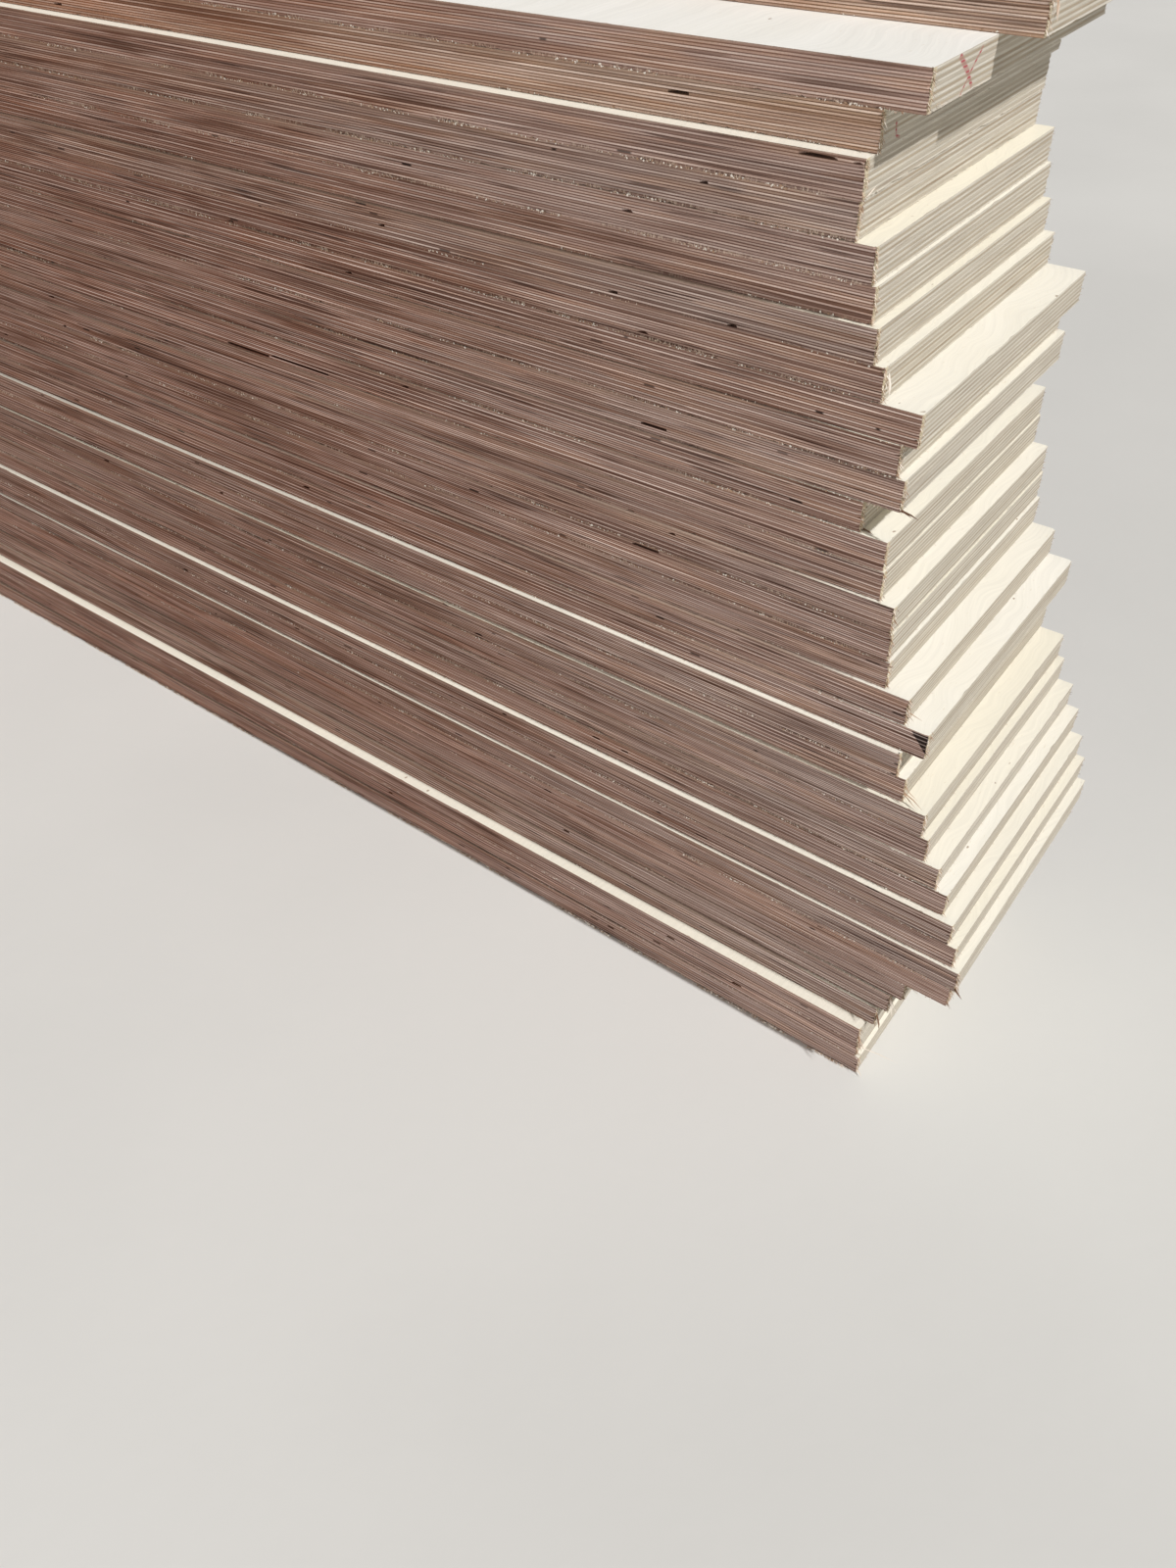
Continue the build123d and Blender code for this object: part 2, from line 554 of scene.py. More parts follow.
def end_plies(g, wisp, glue):
    """The plies of an end: cream and brown by turns, with thin bright lines and lines of glue."""
    first, second, third = g.chance(g.ply, g.sheet, 9.0)
    cream = g.mix(second, PAINT["end cream"], PAINT["end cream, darker"])
    sheet_chance = g.chance(g.sheet, 2.0, 5.0)[0]
    cream = g.paint(cream, "end cream of the sheet", sheet_chance, 0.5)
    brown = g.mix(third, PAINT["end brown"], PAINT["end brown, darker"])
    # Some cross plies are nearly as pale as the rest, the more so in the lower sheets; that part is
    # painted light, making the lower ends paler as if more brightly lit.
    pale_share = g.add(g.step(first, 0.2, 0.9, 0.0, 0.6), g.step(g.sheet, 20.0, 6.0, 0.0, 0.35))
    brown = g.mix(g.math("MINIMUM", pale_share, 0.85), brown, cream)
    colour = g.mix(g.times(g.cross, g.step(g.core, 0.0, 0.5), 0.85), cream, brown)

    line_at = g.join(g.times(g.across, 0.03), g.seed, g.ply)
    lined = g.step(g.noise(line_at, 2), 0.45, 0.62)
    bright = g.times(g.flip(g.cross), g.step(g.core, 0.62, 0.9), lined)
    colour = g.paint(colour, "bright line", bright, 0.7)
    glue_depth = g.add(0.25, g.times(third, 0.4))
    return g.paint(colour, "end glue", glue, g.step(wisp, 0.30, 0.62), glue_depth)


def end_material(strokes=()):
    """The cross-cut ends: pale side grain in the odd plies, brown end grain in the cross plies."""
    g = Wood("birch_end_marked" if strokes else "birch_end", 0.82, 0.28, 5.17)
    g.find_plies()
    drift_at = g.join(g.times(g.across, 0.02), g.add(g.times(g.ply, 2.3), g.seed))
    drift = g.noise(drift_at, 3)
    wisp = g.grain(g.across, 0.05, g.height, 1.1, g.seed, 3)
    pores = g.grain(g.across, 1.1, g.height, 3.2, g.seed, 2, 0.7)

    glue = g.step(g.core, 0.24, 0.0)
    colour = end_plies(g, wisp, glue)
    heart_seed = g.add(g.seed, g.times(g.ply, 1.7))
    heart = g.grain(g.across, 0.014, g.height, 0.6, heart_seed, 3)
    colour = g.paint(colour, "end heartwood", g.step(heart, 0.60, 0.70), 0.35)
    colour = g.scale(colour, g.step(drift, 0.3, 0.7, 0.92, 1.04))

    # Where the saw came out, the front few millimetres are torn and yellower.
    ragged = g.grain(g.across, 0.35, g.height, 0.45, g.seed, 3, 0.65)
    reach = g.add(g.times(ragged, 5.0), 1.6)
    front = g.step(g.across, reach, g.less(reach, 1.6))
    slanting = g.add(g.across, g.times(g.height, 0.8))
    strand = g.noise(g.join(slanting, g.times(g.height, 0.25), g.seed), 3, 0.7)
    straw = g.mix(g.step(strand, 0.35, 0.65), PAINT["straw"], PAINT["straw, paler"])
    colour = g.paint(colour, straw, front, 0.8)

    if strokes:
        colour = g.paint(colour, "wax", wax_on(g, strokes, pores))

    colour = g.scale(colour, g.step(pores, 0.25, 0.75, 0.93, 1.05))
    relief = g.add(
        g.times(pores, 0.5), g.times(glue, -0.5), g.times(strand, front, 0.8), g.times(wisp, 0.3)
    )
    return g.finish(colour, relief, 0.00025)


def veneer_material():
    """The sanded outer veneers, with their grain across the sheet."""
    g = Wood("birch_veneer", 0.62, 0.35, 3.77)
    sway = g.times(g.grain(g.along, 0.004, g.across, 0.012, g.seed), 60.0)
    grain_at = g.add(g.along, sway)
    bands = g.grain(grain_at, 0.045, g.across, 0.003, g.seed, 3, 0.55)
    lines = g.grain(grain_at, 0.55, g.across, 0.012, g.seed, 3, 0.65)
    cloud = g.grain(g.along, 0.006, g.across, 0.008, g.add(g.seed, 20.0))
    flecks = g.grain(g.along, 0.7, g.across, 0.16, g.seed, 2, 0.6)
    spots = g.grain(g.along, 0.16, g.across, 0.10, g.add(g.seed, 9.0), 1)

    # The top sheets are the whitest.
    lower = g.step(g.sheet, 34.5, 32.5)
    clouded = g.step(g.sheet, 34.5, 32.5, 0.2, 0.5)
    cream = g.add(0.35, g.times(g.chance(g.sheet, 4.0, 8.0)[0], 0.65))
    colour = g.mix(g.step(bands, 0.32, 0.68), PAINT["veneer"], PAINT["veneer, paler"])
    colour = g.paint(colour, "veneer of the sheet", cream, lower)
    colour = g.paint(colour, "veneer cloud", g.step(cloud, 0.45, 0.72), clouded)
    colour = g.scale(colour, g.step(lines, 0.3, 0.7, 0.955, 1.02))
    colour = g.paint(colour, "veneer fleck", g.step(flecks, 0.66, 0.76), 0.3)
    colour = g.paint(colour, "pin knot", g.step(spots, 0.785, 0.81), 0.7)
    # Painted shade on the front few millimetres of the listed ledges, left off near the right-hand
    # end.
    ledge = g.times(g.step(g.across, 7.0, 4.0), g.step(g.along, 20.0, 90.0))
    colour = g.paint(colour, "painted ledge shade", g.attribute("ledge_shade", "Fac"), ledge, 0.85)
    return g.finish(colour, g.add(lines, g.times(flecks, 0.4)), 0.00008)


def fibre_material():
    """Loose fibres and splinters, from dark heartwood to straw."""
    g = Graph("birch_fibre", 0.8, 0.2)
    shade = g.attribute("shade", "Fac")
    blotch = g.noise(g.scale(g.attribute("local"), 0.8), 2)
    colour = g.mix(g.step(shade, 0.0, 0.5), PAINT["dark fibre"], PAINT["tan fibre"])
    colour = g.paint(colour, "pale fibre", g.step(shade, 0.45, 1.0))
    colour = g.scale(colour, g.step(blotch, 0.3, 0.7, 0.90, 1.04))
    return g.finish(colour, blotch, 0.0001)


def floor_material():
    """A plain pale floor, hardly clouded. Its rates are per metre."""
    g = Graph("pale_floor", 0.9, 0.2)
    place = g.node("NewGeometry").outputs["Position"]
    cloud = g.noise(g.scale(place, 1.3), 4)
    fine = g.noise(g.scale(place, 60.0), 2)
    colour = g.mix(g.step(cloud, 0.3, 0.7), PAINT["floor"], PAINT["floor, paler"])
    return g.finish(colour, fine, 0.0002)


# The sheets


def spaced(*runs):
    """Places along an edge. Each run is its start, its stop and about its step."""
    marks = []
    for start, stop, step in runs:
        count = max(1, round((stop - start) / step))
        marks += [start + (stop - start) * number / count for number in range(count)]
    return marks + [runs[-1][1]]


class Sheet:
    """Where one sheet lies: its corner, two directions and sizes, from the CAD node."""

    def __init__(self, number):
        self.number = number
        self.node = f"sheet_{number:02d}"
        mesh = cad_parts[self.node].data
        points = np.empty(len(mesh.vertices) * 3)
        mesh.vertices.foreach_get("co", points)
        points = points.reshape(-1, 3) / MM
        flat = points[:, :2]
        right = flat[np.argmax(flat @ (1, -1))]
        left = flat[np.argmax(flat @ (-1, -1))]
        back = flat[np.argmax(flat @ (1, 1))]
        self.length = float(np.linalg.norm(left - right))
        self.width = float(np.linalg.norm(back - right))
        self.corner = np.array([*right, points[:, 2].min()])
        self.along = np.array([*(left - right) / self.length, 0.0])
        self.across = np.array([*(back - right) / self.width, 0.0])
        self.rng = np.random.RandomState(900 + number)

    def at(self, places):
        """Frame points, in metres, of places along from the right-hand end, across and up."""
        places = np.asarray(places, float)
        world = self.corner + places[..., :1] * self.along + places[..., 1:2] * self.across
        world = world + places[..., 2:3] * np.array([0.0, 0.0, 1.0])
        return world * MM

    def front_at(self, along):
        """How far forward the front edge is, at a distance from the right-hand end."""
        return -(self.corner + along * self.along)[1]


# How far from the right-hand end every ply has a step, along the front and the back.
STEPPED_FRONT, STEPPED_BACK = 100, 9

# Where the veneers are cut across, from the right-hand end.
STATIONS = [8, 60, 150, *range(300, 2301, 200), 2460]


def side_columns(sheet, gaps):
    """The columns round a sheet, seen from above against the clock from the far left corner.

    Each is its side, along, across, inward direction, and True where every ply has a step.
    """
    length, width = sheet.length, sheet.width
    front = spaced(
        (0, 8, 0.8), (8, 60, 1.5), (60, 150, 2.25), (150, 300, 3), (300, 700, 4),
        (700, 1300, 10), (1300, 2460, 20), (2460, length - 6, 8), (length - 6, length, 2),
    )
    stepped = [(0, STEPPED_FRONT)]
    for _, middle, span, _ in gaps:
        low, high = max(0.6, middle - span / 2), middle + span / 2
        inner = np.linspace(low, high, max(3, int(span / 3)))
        clear = [f for f in front if not low - 1.2 < f < high + 1.2 or f in STATIONS or f == 0]
        front = clear + [low - 0.5, *inner, high + 0.5]
        stepped.append((low - 1.0, high + 1.0))
    front = sorted(set(round(f, 4) for f in front + STATIONS))
    right = spaced((0, 6, 0.75), (6, 24, 2), (24, width - 6, 5), (width - 6, width, 1.5))
    back = spaced(
        (0, 8, 2), (8, 60, 6.5), (60, 500, 20), (500, 2460, 40),
        (2460, length - 8, 8), (length - 8, length, 2),
    )
    back = sorted(set(round(b, 4) for b in back + STATIONS))
    left = spaced((0, 6, 2), (6, width - 6, 9), (width - 6, width, 2))

    columns = []
    for place in front[:0:-1]:
        inward = (0, 1) if place < length else (-1, 1)
        double = any(low <= place <= high for low, high in stepped)
        columns.append(("front", place, 0.0, inward, double))
    for place in right[:-1]:
        inward = (1, 0) if place > 0 else (1, 1)
        columns.append(("right", 0.0, place, inward, True))
    for place in back[:-1]:
        inward = (0, -1) if place > 0 else (1, -1)
        columns.append(("back", place, width, inward, place < STEPPED_BACK))
    for place in left[:0:-1]:
        inward = (-1, 0) if place < width else (-1, -1)
        columns.append(("left", length, place, inward, False))
    return columns


class Loop:
    """The columns round one sheet, as arrays, with how each is worn."""

    def __init__(self, sheet, torn):
        self.sheet = sheet
        rng = sheet.rng
        gaps = [gap[1:] for gap in CORE_GAPS if gap[0] == sheet.number]
        gaps += [
            (rng.randint(2, 12), float(middle), float(rng.uniform(3, 9)), float(rng.uniform(2, 5)))
            for middle in rng.uniform(60, 2400, PITS_BY_CHANCE)
        ]
        side, along, across, inward, self.stepped = zip(*side_columns(sheet, gaps))
        self.count = len(side)
        self.side, self.along, self.across = np.array(side), np.array(along), np.array(across)
        self.inward = np.array(inward, float)
        self.stand_back(gaps)
        self.chip(torn)

    def stand_back(self, gaps):
        """Sets how far each ply stands back at each column: saw relief, torn corners, gaps."""
        rng, size = self.sheet.rng, (self.count, PLIES)
        side, along, across = self.side, self.along, self.across
        length, width = self.sheet.length, self.sheet.width
        cross = np.where(np.arange(PLIES) % 2, 0.05, 0.0)
        ply_base = rng.uniform(0.0, 0.10, PLIES) + cross
        inset = np.tile(ply_base, (self.count, 1)) + rng.uniform(0, 0.03, size)

        # How near each column is to an upright arris, and the share of the wear there.
        far = 999.0
        near_right = np.where(side == "front", along, np.where(side == "right", across, far))
        near_back = np.where(side == "right", width - across, far)
        near_back = np.where(side == "back", along, near_back)
        off_arris = np.where(side == "left", np.minimum(across, width - across), 0.0)
        near_left = np.minimum(length - along, far) + off_arris
        for nearness, share in ((near_right, 1.0), (near_back, 0.6), (near_left, 0.6)):
            depth = rng.uniform(0.05, 0.7, PLIES)
            depth += np.where(rng.rand(PLIES) < 0.30, rng.uniform(0.6, 1.8, PLIES), 0)
            reach = rng.uniform(0.9, 3.8, PLIES)
            fall = np.clip(1 - nearness[:, None] / reach, 0, 1) ** 1.5
            inset += share * depth * fall * rng.uniform(0.6, 1.1, size)
        for ply, middle, span, depth in gaps:
            inside = (side == "front") & (np.abs(along - middle) <= span / 2 + 0.01)
            taper = np.clip(1 - (2 * (along[inside] - middle) / span) ** 2, 0, 1) ** 0.35
            inset[inside, ply - 1] += depth * taper * rng.uniform(0.75, 1.0, inside.sum())
        self.inset = inset

    def chip(self, torn):
        """Sets the two arrises: the lower one chipped by the saw, the upper one nearly clean."""
        rng, count, number = self.sheet.rng, self.count, self.sheet.number
        self.low_in = rng.uniform(0.08, 0.22, count)
        self.low_up = rng.uniform(0.12, 0.28, count)
        wave = np.sin(self.along / 41.0 + number) * np.sin(self.along / 13.7 + 2 * number)
        often = 0.06 + 0.34 * torn * (0.5 + 0.5 * wave)
        chipped = rng.rand(count) < often * np.isin(self.side, ("front", "right"))
        self.low_in[chipped] = rng.uniform(0.4, 1.5, chipped.sum())
        self.low_up[chipped] = rng.uniform(0.35, 1.15, chipped.sum())
        self.top_in = rng.uniform(0.04, 0.16, count)
        self.top_down = rng.uniform(0.06, 0.2, count)
        nicked = rng.rand(count) < 0.03
        self.top_in[nicked] = rng.uniform(0.3, 0.8, nicked.sum())
        self.top_down[nicked] = rng.uniform(0.2, 0.7, nicked.sum())

    def column_points(self, i):
        """One column's points from the underside up."""
        back = self.inset[i]
        rows = [(0.0, back[0] + self.low_in[i]), (self.low_up[i], back[0])]
        for ply in range(PLIES - 1):
            joint = PLY * (ply + 1)
            if self.stepped[i]:
                rows += [(joint - GLUE, back[ply]), (joint + GLUE, back[ply + 1])]
            else:
                rows.append((joint, (back[ply] + back[ply + 1]) / 2))
        rows += [(THICK - self.top_down[i], back[-1]), (THICK, back[-1] + self.top_in[i])]
        x, y = self.inward[i]
        along, across = self.along[i], self.across[i]
        return [(along + x * depth, across + y * depth, height) for height, depth in rows]

    def row_groups(self, i):
        """A column's rows in groups: two rows at a joint where the plies have a step, else one."""
        if not self.stepped[i]:
            return [(row, row) for row in range(PLIES + 3)]
        joints = [(2 * joint, 2 * joint + 1) for joint in range(1, PLIES)]
        return [(0, 0), (1, 1)] + joints + [(2 * PLIES, 2 * PLIES), (2 * PLIES + 1, 2 * PLIES + 1)]

    def veneer_loops(self):
        """The columns round each part of a veneer, cut at the stations to keep it compact."""
        column_at = {(s, round(a, 4)): i for i, (s, a) in enumerate(zip(self.side, self.along))}
        ring = list(range(self.count))
        cuts = [(column_at["front", place], column_at["back", place]) for place in STATIONS]
        loops = [ring[cuts[0][0]:cuts[0][1] + 1]]
        for (front_near, back_near), (front_far, back_far) in zip(cuts, cuts[1:]):
            loops.append(ring[front_far:front_near + 1] + ring[back_near:back_far + 1])
        return loops + [ring[cuts[-1][1]:] + ring[:cuts[-1][0] + 1]]


# The places of a sheet's materials.
VENEER_SLOT = 0
SIDE_SLOTS = {"front": 1, "back": 1, "left": 2, "right": 2}


def wall_faces(a, one, b, two):
    """The faces between two columns that start at points a and b, with their groups of rows."""
    faces = []
    for group, ((a_low, a_high), (b_low, b_high)) in enumerate(zip(one, two)):
        if a_low != a_high and b_low != b_high:
            faces.append((a + a_low, b + b_low, b + b_high, a + a_high))
        elif a_low != a_high:
            faces.append((a + a_low, b + b_low, a + a_high))
        elif b_low != b_high:
            faces.append((a + a_low, b + b_low, b + b_high))
        if group + 1 < len(one):
            faces.append((a + a_high, b + b_high, b + two[group + 1][0], a + one[group + 1][0]))
    return faces


def sheet_mesh(loop):
    """A sheet's points, faces and the material's place of each face."""
    vertices, starts = [], []
    for i in range(loop.count):
        starts.append(len(vertices))
        vertices += loop.column_points(i)
    tops = [start - 1 for start in starts[1:]] + [len(vertices) - 1]

    faces, slots = [], []
    for i in range(loop.count):
        j = (i + 1) % loop.count
        wall = wall_faces(starts[i], loop.row_groups(i), starts[j], loop.row_groups(j))
        faces += wall
        slots += [SIDE_SLOTS[loop.side[i]]] * len(wall)
    for part in loop.veneer_loops():
        faces.append(tuple(tops[i] for i in part))
        faces.append(tuple(starts[i] for i in reversed(part)))
        slots += [VENEER_SLOT, VENEER_SLOT]
    return vertices, faces, slots


def stains(number, local):
    """How dark each point of a sheet's front is stained, by the single streaks."""
    along, across, height = local.T
    stain = np.zeros(len(local))
    for owner, level, middle, span, strength in STREAKS:
        if owner == number:
            lengthwise = np.clip(1 - (2 * (along - middle) / span) ** 2, 0, 1)
            upwards = np.clip(1.3 - np.abs(height - level), 0, 1)
            stain = np.maximum(stain, strength * lengthwise * upwards)
    near_front = across < 30
    return stain * near_front


def add_object(data):
    """A mesh, lamp or camera set into the scene, under its own name."""
    item = bpy.data.objects.new(data.name, data)
    bpy.context.scene.collection.objects.link(item)
    return item


def give(mesh, name, kind, values):
    """Stores one value at each point of the mesh."""
    field = {"FLOAT_VECTOR": "vector", "FLOAT_COLOR": "color", "FLOAT": "value"}[kind]
    data = mesh.attributes.new(name, kind, "POINT").data
    data.foreach_set(field, np.asarray(values, np.float32).ravel())


def build_sheet(sheet, materials):
    """The sheet's mesh piece, which stands for its CAD node."""
    number = sheet.number
    torn = TORN.get(number, TORN_ELSE)
    vertices, faces, slots = sheet_mesh(Loop(sheet, torn))
    local = np.array(vertices)
    count = len(local)
    mesh = bpy.data.meshes.new(f"plywood_sheet_{number:02d}")
    mesh.from_pydata(sheet.at(local).tolist(), [], faces)
    mesh.polygons.foreach_set("material_index", slots)
    give(mesh, "local", "FLOAT_VECTOR", local)
    give(mesh, "traits", "FLOAT_VECTOR", np.tile((number, BOLD[number - 1], torn), (count, 1)))
    contrast = CONTRAST.get(number, FULL_CONTRAST)
    tone = (*linear(TONES[SHEET_TONES[number - 1]])[:3], contrast)
    give(mesh, "tone", "FLOAT_COLOR", np.tile(tone, (count, 1)))
    give(mesh, "stain", "FLOAT", stains(number, local))
    # Which sheets get the painted ledge shade.
    give(mesh, "ledge_shade", "FLOAT", np.full(count, float(number in SHADED_LEDGES)))
    for material in materials:
        mesh.materials.append(material)
    mesh.update()
    piece = add_object(mesh)
    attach(piece, "root")
    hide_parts(sheet.node)


# Loose fibres


class Fibres:
    """Torn wood gathered in one mesh: three-sided spikes, some bent once, and crumbs."""

    def __init__(self, name):
        self.name = name
        self.points, self.faces, self.shades = [], [], []

    def spike(self, root, tip, wide, thin, shade, bend=None):
        """A fibre from root to tip, in frame metres, flattened to wide by thin at its root."""
        root, tip = np.array(root, float), np.array(tip, float)
        tip[2] = max(tip[2], LOWEST * MM)
        run = tip - root
        run = run / (np.linalg.norm(run) + 1e-12)
        guide = np.array([0.0, 0.0, 1.0]) if abs(run[2]) < 0.8 else np.array([1.0, 0.0, 0.0])
        first = np.cross(run, guide)
        first /= np.linalg.norm(first)
        second = np.cross(run, first)
        corners = [first * wide / 2, -first * wide / 2, second * thin]
        start = len(self.points)
        self.points += [root + corner for corner in corners]
        self.faces.append((start, start + 1, start + 2))
        ring = start
        if bend is not None:
            self.points += [bend + corner * 0.7 for corner in corners]
            ring = start + 3
            for i in range(3):
                j = (i + 1) % 3
                self.faces.append((start + i, ring + i, ring + j, start + j))
        peak = len(self.points)
        self.points.append(tip)
        for i in range(3):
            self.faces.append((ring + i, peak, ring + (i + 1) % 3))
        self.shades += [shade] * (len(self.points) - start)

    def dab(self, sheet, middle, half, rng, shade):
        """A crumb of torn wood: eight faces round a middle, in the sheet's own millimetres."""
        start = len(self.points)
        for axis in range(3):
            for sign in (1, -1):
                point = np.array(middle, float)
                point[axis] += sign * half[axis] * rng.uniform(0.7, 1.2)
                others = [other for other in range(3) if other != axis]
                point[others] += rng.uniform(-0.45, 0.45, 2) * np.array(half)[others]
                place = sheet.at(point)
                place[2] = max(place[2], LOWEST * MM)
                self.points.append(place)
        for x in (0, 1):
            for y in (2, 3):
                for z in (4, 5):
                    face = (start + x, start + y, start + z)
                    self.faces.append(face if (x + y + z) % 2 == 0 else face[::-1])
        self.shades += [shade] * 6

    def build(self, material):
        mesh = bpy.data.meshes.new(self.name)
        mesh.from_pydata([tuple(point) for point in self.points], [], self.faces)
        give(mesh, "shade", "FLOAT", self.shades)
        give(mesh, "local", "FLOAT_VECTOR", np.array(self.points) / MM)
        mesh.materials.append(material)
        mesh.update()
        piece = add_object(mesh)
        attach(piece, "root")


# How far a sheet has to stand back before the ledge below it carries its crumbs.
LEDGE = 1.4
# The lowest sheet counts as set back this far: the floor is its ledge.
ON_FLOOR = 99.0
# The share of crumbs, and of the pale ones near the right-hand end and beyond.
CRUMBS = 0.68
PALE_NEAR, PALE_BEYOND, NEAR = 0.50, 0.22, 300


def fringe_places(sheet, rng):
    """Where a sheet's lower front arris is torn, and how large each tuft is."""
    torn = TORN.get(sheet.number, FRINGE_ELSE)
    lowest = 2.2 if sheet.number == 1 else 1.0
    places = []
    # Clusters of tufts, closer together where the saw tore the arris more.
    start = rng.uniform(0, 30)
    while start < sheet.length - 60:
        span = rng.uniform(12, 70)
        dense = 1.0 if start < 1100 else 0.5
        number = rng.poisson(span * (0.30 + 0.75 * torn) * dense * lowest)
        cluster = start + rng.beta(1.4, 1.4, number) * span
        places += [(place, rng.uniform(0.6, 1.0)) for place in cluster]
        start += span + rng.exponential(16 / torn)
    strays = rng.poisson(sheet.length * 0.05 * torn)
    stray_places = rng.uniform(1, sheet.length - 1, strays)
    places += [(place, rng.uniform(0.4, 0.8)) for place in stray_places]
    return [(along, size) for along, size in places if 0.5 < along < sheet.length - 1]


def crumb(sheet, fibres, rng, along, size, proud):
    """A crumb at the lower arris, where the sheet below stands out by proud."""
    on_ledge = proud > LEDGE
    wide, deep, tall = rng.uniform(0.25, 0.95), rng.uniform(0.15, 0.4), rng.uniform(0.3, 0.85)
    half = size * np.array([wide, deep, tall])
    out = half[1] * 0.7 + (0.0 if on_ledge else max(proud, 0) + 0.1)
    up = half[2] + 0.1 if on_ledge else rng.uniform(-0.5, 0.9) * size
    if sheet.number == 1:
        half, out = half * 1.5, out + rng.uniform(0.2, 1.4)
        up = half[2] + 0.05
    pale = rng.rand() < (PALE_NEAR if along < NEAR else PALE_BEYOND)
    shade = rng.uniform(0.86, 1.0) if pale else rng.uniform(0.25, 0.72)
    fibres.dab(sheet, (along, -out, up), half, rng, shade)


def hair(sheet, fibres, rng, along, size, proud):
    """A fibre at the lower arris, where the sheet below stands out by proud."""
    on_ledge = proud > LEDGE
    lean = rng.normal(0, 0.5)
    out = size * rng.uniform(0.4, 1.1)
    drop = rng.uniform(0.1, 0.4) if on_ledge else -size * rng.uniform(0.1, 1.0)
    if not on_ledge:
        out = max(proud, 0) + rng.uniform(0.2, 0.6)
    if sheet.number == 1:
        out, drop = out * 3.4, rng.uniform(0.02, 0.4)
    tip, root = (along + lean, -out, drop), (along, 0.3, rng.uniform(0.2, 1.1))
    wide = size * rng.uniform(0.3, 1.0) * MM
    fibres.spike(sheet.at(root), sheet.at(tip), wide, 0.2 * MM, rng.uniform(0.6, 1.0))


def fringe(sheets, fibres, rng):
    """Tear-out along the lower front arrises: crumbs, and fibres that point out and hang."""
    for sheet in sheets:
        for along, size in fringe_places(sheet, rng):
            if sheet.number == 1:
                proud = ON_FLOOR
            else:
                proud = sheets[sheet.number - 2].front_at(along) - sheet.front_at(along)
            maker = crumb if rng.rand() < CRUMBS else hair
            maker(sheet, fibres, rng, along, size, proud)


def corner_fuzz(sheets, fibres, rng):
    """Short fibres along the two upright arrises at each end, longest at the front right."""
    shades, shares = ((0.05, 0.30), (0.35, 0.60), (0.65, 1.00)), (0.25, 0.40, 0.35)
    for sheet in sheets:
        length, width = sheet.length, sheet.width
        # along, across, direction along, direction across, how many, how long
        corners = [
            (0, 0, -1, -1, rng.randint(26, 80), 3.8),
            (0, width, -1, 1, 16, 1.8),
            (length, 0, 1, -1, 20, 1.8),
            (length, width, 1, 1, 14, 1.6),
        ]
        for x, y, to_x, to_y, number, reach in corners:
            for _ in range(number):
                height = rng.uniform(0.3, THICK - 0.3)
                back = rng.exponential(1.2)
                root = (x - to_x * 0.5, y - to_y * (0.4 + min(back, 4.5)), height)
                size = rng.uniform(0.35, 1.0) ** 1.6 * reach
                tip = (
                    x + to_x * size * rng.uniform(0.2, 1.1),
                    root[1] + to_y * size * rng.uniform(0.2, 1.0),
                    min(max(height - size * rng.uniform(-0.4, 1.0), 0.05), THICK),
                )
                wide = rng.uniform(0.2, 0.8) * MM
                shade = rng.uniform(*shades[rng.choice(3, p=shares)])
                fibres.spike(sheet.at(root), sheet.at(tip), wide, 0.15 * MM, shade)


def end_fringe(sheets, fibres, rng):
    """Fine tear-out along the lower arris of the right-hand ends."""
    for sheet in sheets:
        across = rng.exponential(5.0)
        while across <= sheet.width - 1:
            root = (0.4, across, rng.uniform(0.1, 0.9))
            out = rng.uniform(0.3, 1.6)
            tip = (-out, across + rng.normal(0, 0.8), rng.uniform(0.05, 0.5))
            wide = rng.uniform(0.12, 0.35) * MM
            fibres.spike(sheet.at(root), sheet.at(tip), wide, 0.1 * MM, rng.uniform(0.5, 1.0))
            across += rng.exponential(5.0)


def splinters(sheets, fibres, rng):
    """The listed splinters, each bent a little at its middle."""
    for number, root, run, wide, shade in SPLINTERS:
        sheet = sheets[number - 1]
        root, run = np.array((SPLINTER_ROOT, *root)), np.array(run)
        bend = rng.normal(0, 0.04, 3) * np.linalg.norm(run) * (1, 1, 0.5)
        wide *= 1.4 * MM
        middle = sheet.at(root + run * 0.5 + bend)
        fibres.spike(sheet.at(root), sheet.at(root + run), wide, 0.5 * wide, shade, middle)


# The studio


def lay_floor():
    """A wide pale floor at the height of the lowest sheet's underside."""
    mesh = bpy.data.meshes.new("floor")
    square = ((-1, -1), (1, -1), (1, 1), (-1, 1))
    corners = [(x * FLOOR_REACH, y * FLOOR_REACH, 0) for x, y in square]
    mesh.from_pydata(corners, [], [(0, 1, 2, 3)])
    mesh.materials.append(floor_material())
    floor = add_object(mesh)


def hang_lamps():
    """Soft parallel light from two sides."""
    for name, (towards, spread, strength, colour) in LAMPS.items():
        data = bpy.data.lights.new(name, "SUN")
        data.angle = math.radians(spread)
        data.energy = strength
        data.color = colour
        lamp = add_object(data)
        lamp.rotation_euler = (-Vector(towards)).to_track_quat("-Z", "Y").to_euler()


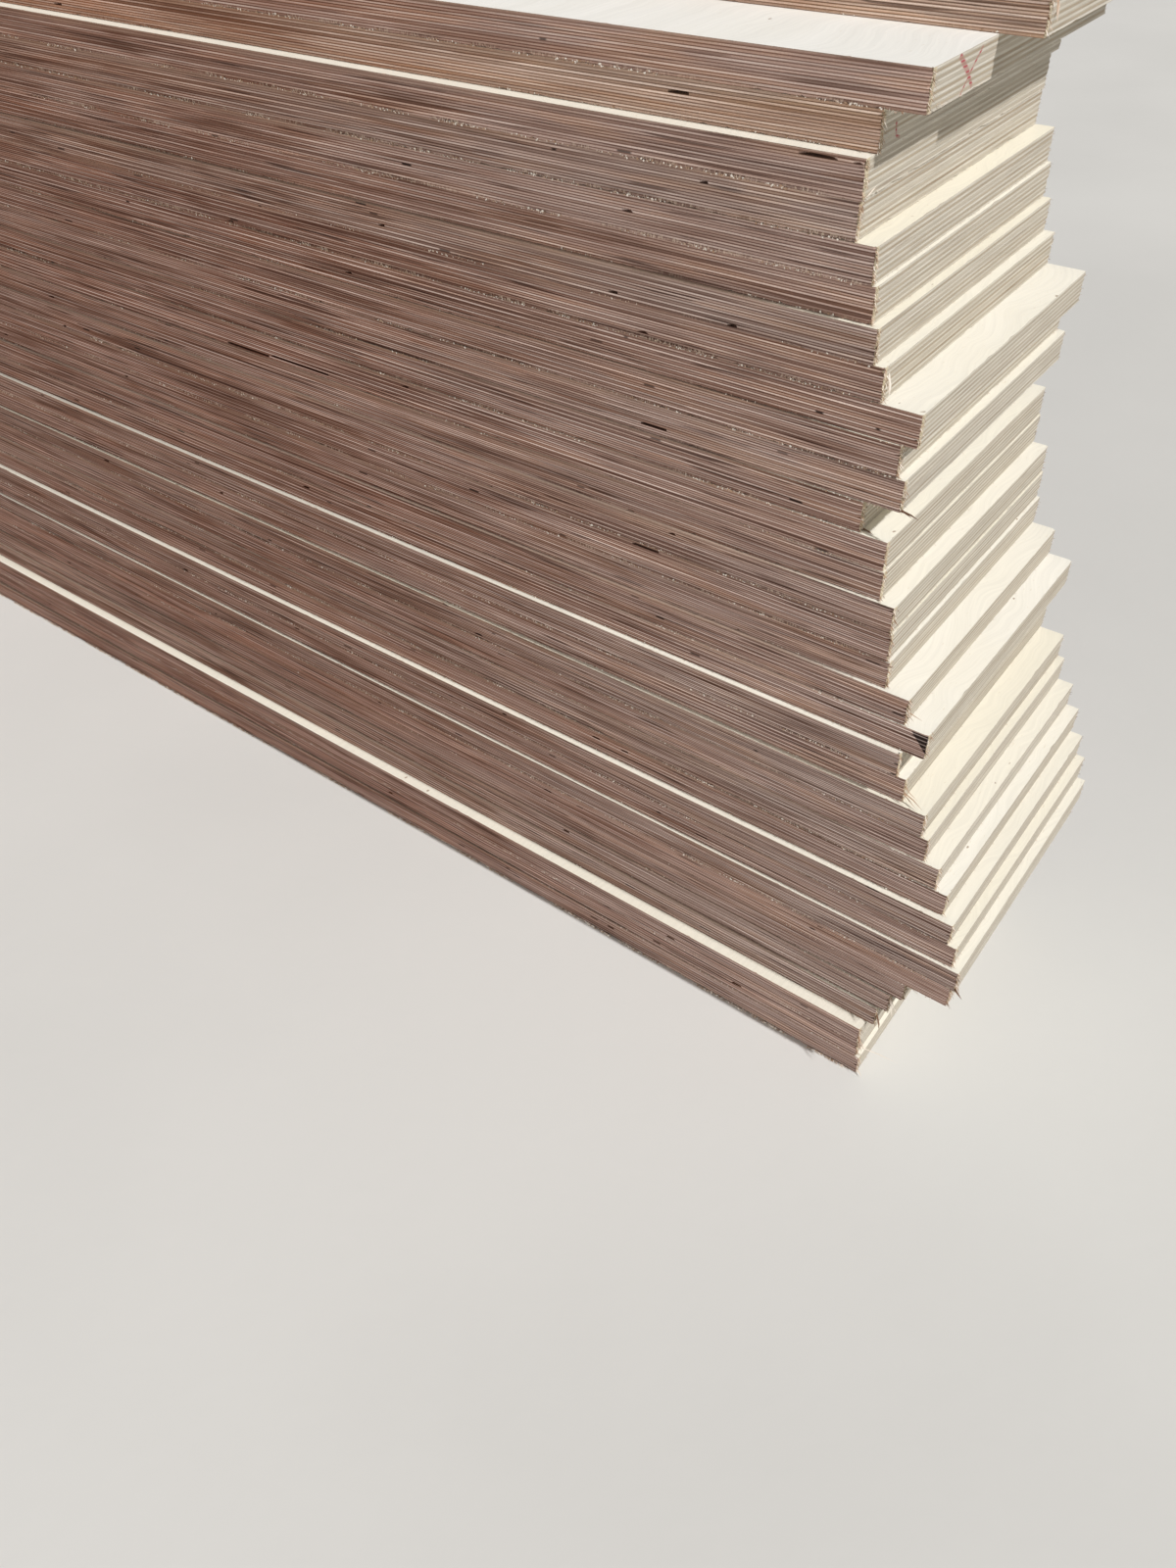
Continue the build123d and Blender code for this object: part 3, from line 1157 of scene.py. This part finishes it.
def surround():
    """A weak sky all round. The camera sees a plain backdrop in its place."""
    world = bpy.data.worlds.new("studio")
    bpy.context.scene.world = world
    world.use_nodes = True
    nodes, links = world.node_tree.nodes, world.node_tree.links
    nodes.clear()
    seen, lit, rays, choose, output = (
        nodes.new("ShaderNode" + kind)
        for kind in ("Background", "Background", "LightPath", "MixShader", "OutputWorld")
    )
    seen.inputs["Color"].default_value = PAINT["backdrop"]
    lit.inputs["Color"].default_value = SKY_COLOUR
    lit.inputs["Strength"].default_value = SKY_STRENGTH
    links.new(rays.outputs["Is Camera Ray"], choose.inputs[0])
    links.new(lit.outputs[0], choose.inputs[1])
    links.new(seen.outputs[0], choose.inputs[2])
    links.new(choose.outputs[0], output.inputs[0])


def place_camera():
    """The camera as it was fitted to the photograph."""
    azimuth, elevation, roll = map(math.radians, (CAMERA_AZIMUTH, CAMERA_ELEVATION, CAMERA_ROLL))
    backward = Vector((
        math.sin(azimuth) * math.cos(elevation),
        -math.cos(azimuth) * math.cos(elevation),
        math.sin(elevation),
    ))
    level = Vector((math.cos(azimuth), math.sin(azimuth), 0.0))
    upright = backward.cross(level)
    rightward = level * math.cos(roll) + upright * math.sin(roll)
    upward = upright * math.cos(roll) - level * math.sin(roll)
    data = bpy.data.cameras.new("camera")
    data.lens = CAMERA_LENS
    data.sensor_width = SENSOR_WIDTH
    data.clip_start = 0.02
    data.clip_end = 200.0
    camera = add_object(data)
    turn = Matrix((rightward, upward, backward)).transposed().to_4x4()
    camera.matrix_world = Matrix.Translation(CAMERA_PLACE) @ turn
    bpy.context.scene.camera = camera


# The whole

sheets = [Sheet(number) for number in range(1, len(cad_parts) + 1)]
veneer = veneer_material()
long_edge = long_edge_material()
plain_end = end_material()
for sheet in sheets:
    end = end_material(STROKES[sheet.number]) if sheet.number in STROKES else plain_end
    build_sheet(sheet, (veneer, long_edge, end))

# Each piece of loose fibre, its maker and its seed.
fibre = fibre_material()
for name, maker, seed in (
    ("torn_fibres_front", fringe, 71),
    ("torn_fibres_corners", corner_fuzz, 83),
    ("torn_fibres_end", end_fringe, 97),
    ("long_splinters", splinters, 59),
):
    gathered = Fibres(name)
    maker(sheets, gathered, np.random.RandomState(seed))
    gathered.build(fibre)

lay_floor()
hang_lamps()
surround()
place_camera()
bpy.context.scene.view_settings.view_transform = "Standard"
